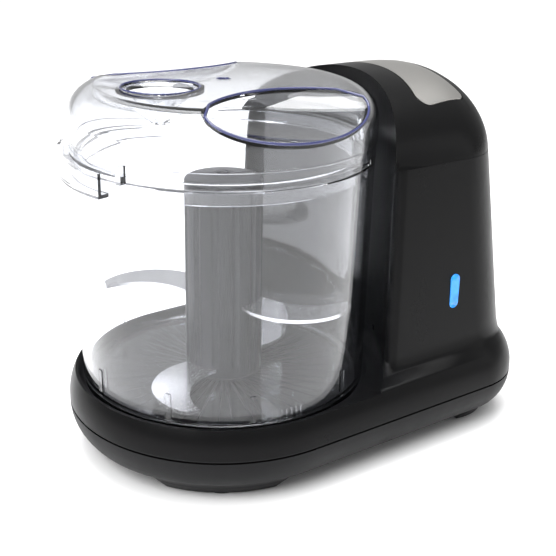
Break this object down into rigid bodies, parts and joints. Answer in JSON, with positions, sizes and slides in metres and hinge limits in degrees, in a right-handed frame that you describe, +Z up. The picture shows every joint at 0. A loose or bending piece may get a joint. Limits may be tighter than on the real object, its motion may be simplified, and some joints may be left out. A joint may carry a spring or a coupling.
{
  "type": "food processor",
  "caption": "Food processor with a clear lidded bowl and lift-out blades on a belt-driven base, beside a motor tower with a steel press plate.",
  "frame": {"origin": "middle of the overall box, on the plane the feet stand on", "axes": "+X from the bowl to the motor tower, -Y the front with the indicator, +Z up"},
  "size_m": [0.175, 0.1182, 0.1385],
  "materials": {
    "satin_black_plastic": "satin",
    "matte_black_plastic": "matte",
    "clear_plastic": "gloss",
    "hub_plastic": "satin",
    "brushed_steel": "brushed",
    "blade_steel": "polished",
    "turned_steel": "turned",
    "zinc_steel": "plated",
    "bronze": "sintered",
    "white_plastic": "satin",
    "rubber": "matte",
    "belt_rubber": "matte",
    "lens_blue": "gloss",
    "board_green": "satin",
    "ferrite": "matte",
    "laminated_iron": "laminated",
    "carbon": "matte"
  },
  "bodies": {
    "base": {"lower_shell": "matte_black_plastic", "rubber_feet": "rubber", "base_screws": "zinc_steel", "cord_gland": "rubber", "main_housing": "satin_black_plastic", "indicator_lens": "lens_blue", "indicator_board": "board_green", "indicator_lamp": "lens_blue", "tower_cap": "satin_black_plastic", "cap_screws": "zinc_steel", "button_spring": "turned_steel", "switch_bracket": "white_plastic", "bracket_screws": "zinc_steel", "power_switch": "matte_black_plastic", "interlock_switch": "matte_black_plastic", "control_board": "board_green", "board_capacitor": "lens_blue", "board_relay": "white_plastic", "motor_can": "zinc_steel", "motor_bush": "bronze", "motor_end_cap": "white_plastic", "motor_magnets": "ferrite", "carbon_brushes": "carbon", "motor_plate": "zinc_steel", "motor_dampers": "rubber", "motor_screws": "zinc_steel", "drive_belt": "belt_rubber", "lower_bush": "bronze", "upper_bush": "bronze", "spindle_seal": "rubber"},
    "rotor": {"motor_shaft": "turned_steel", "motor_armature": "laminated_iron", "cooling_fan": "white_plastic", "motor_pulley": "turned_steel"},
    "spindle": {"drive_spindle": "turned_steel", "spindle_pulley": "white_plastic", "slinger_washer": "zinc_steel"},
    "bowl": {"bowl": "clear_plastic"},
    "blade": {"blade_hub": "hub_plastic", "lower_blade": "blade_steel", "upper_blade": "blade_steel", "hub_insert": "turned_steel"},
    "lid": {"lid": "clear_plastic"},
    "button": {"press_plate": "brushed_steel", "button_carrier": "matte_black_plastic", "button_retainer": "zinc_steel"},
    "plunger": {"switch_plunger": "white_plastic"},
    "interlock": {"interlock_pin": "white_plastic"}
  },
  "joints": [
    {"name": "motor_spin", "type": "hinge", "parent": "base", "child": "rotor", "pos_m": [0.05255, 0, 0.06], "axis": [0, 0, 1], "continuous": true},
    {"name": "spindle_spin", "type": "hinge", "parent": "base", "child": "spindle", "pos_m": [-0.02845, 0, 0.05], "axis": [0, 0, 1], "continuous": true},
    {"name": "bowl_lift", "type": "slide", "parent": "base", "child": "bowl", "axis": [0, 0, 1], "range_m": [0, 0.12]},
    {"name": "blade_spin", "type": "hinge", "parent": "bowl", "child": "blade", "pos_m": [-0.02845, 0, 0.08], "axis": [0, 0, 1], "continuous": true},
    {"name": "lid_lift", "type": "slide", "parent": "bowl", "child": "lid", "axis": [0, 0, 1], "range_m": [0, 0.08]},
    {"name": "button_press", "type": "slide", "parent": "base", "child": "button", "axis": [0, 0, -1], "range_m": [0, 0.0025], "stiffness_N_per_m": 900, "springref_m": -0.0025, "deforming": ["button_spring"]},
    {"name": "plunger_press", "type": "slide", "parent": "base", "child": "plunger", "axis": [0, 0, -1], "range_m": [0, 0.0025]},
    {"name": "interlock_push", "type": "slide", "parent": "base", "child": "interlock", "axis": [1, 0, 0], "range_m": [0, 0.002], "stiffness_N_per_m": 300, "springref_m": -0.002}
  ],
  "couplings": [
    {"joint": "spindle_spin", "follows": "motor_spin", "ratio": 0.33333},
    {"joint": "blade_spin", "follows": "motor_spin", "ratio": 0.33333},
    {"joint": "plunger_press", "follows": "button_press", "ratio": 1}
  ]
}
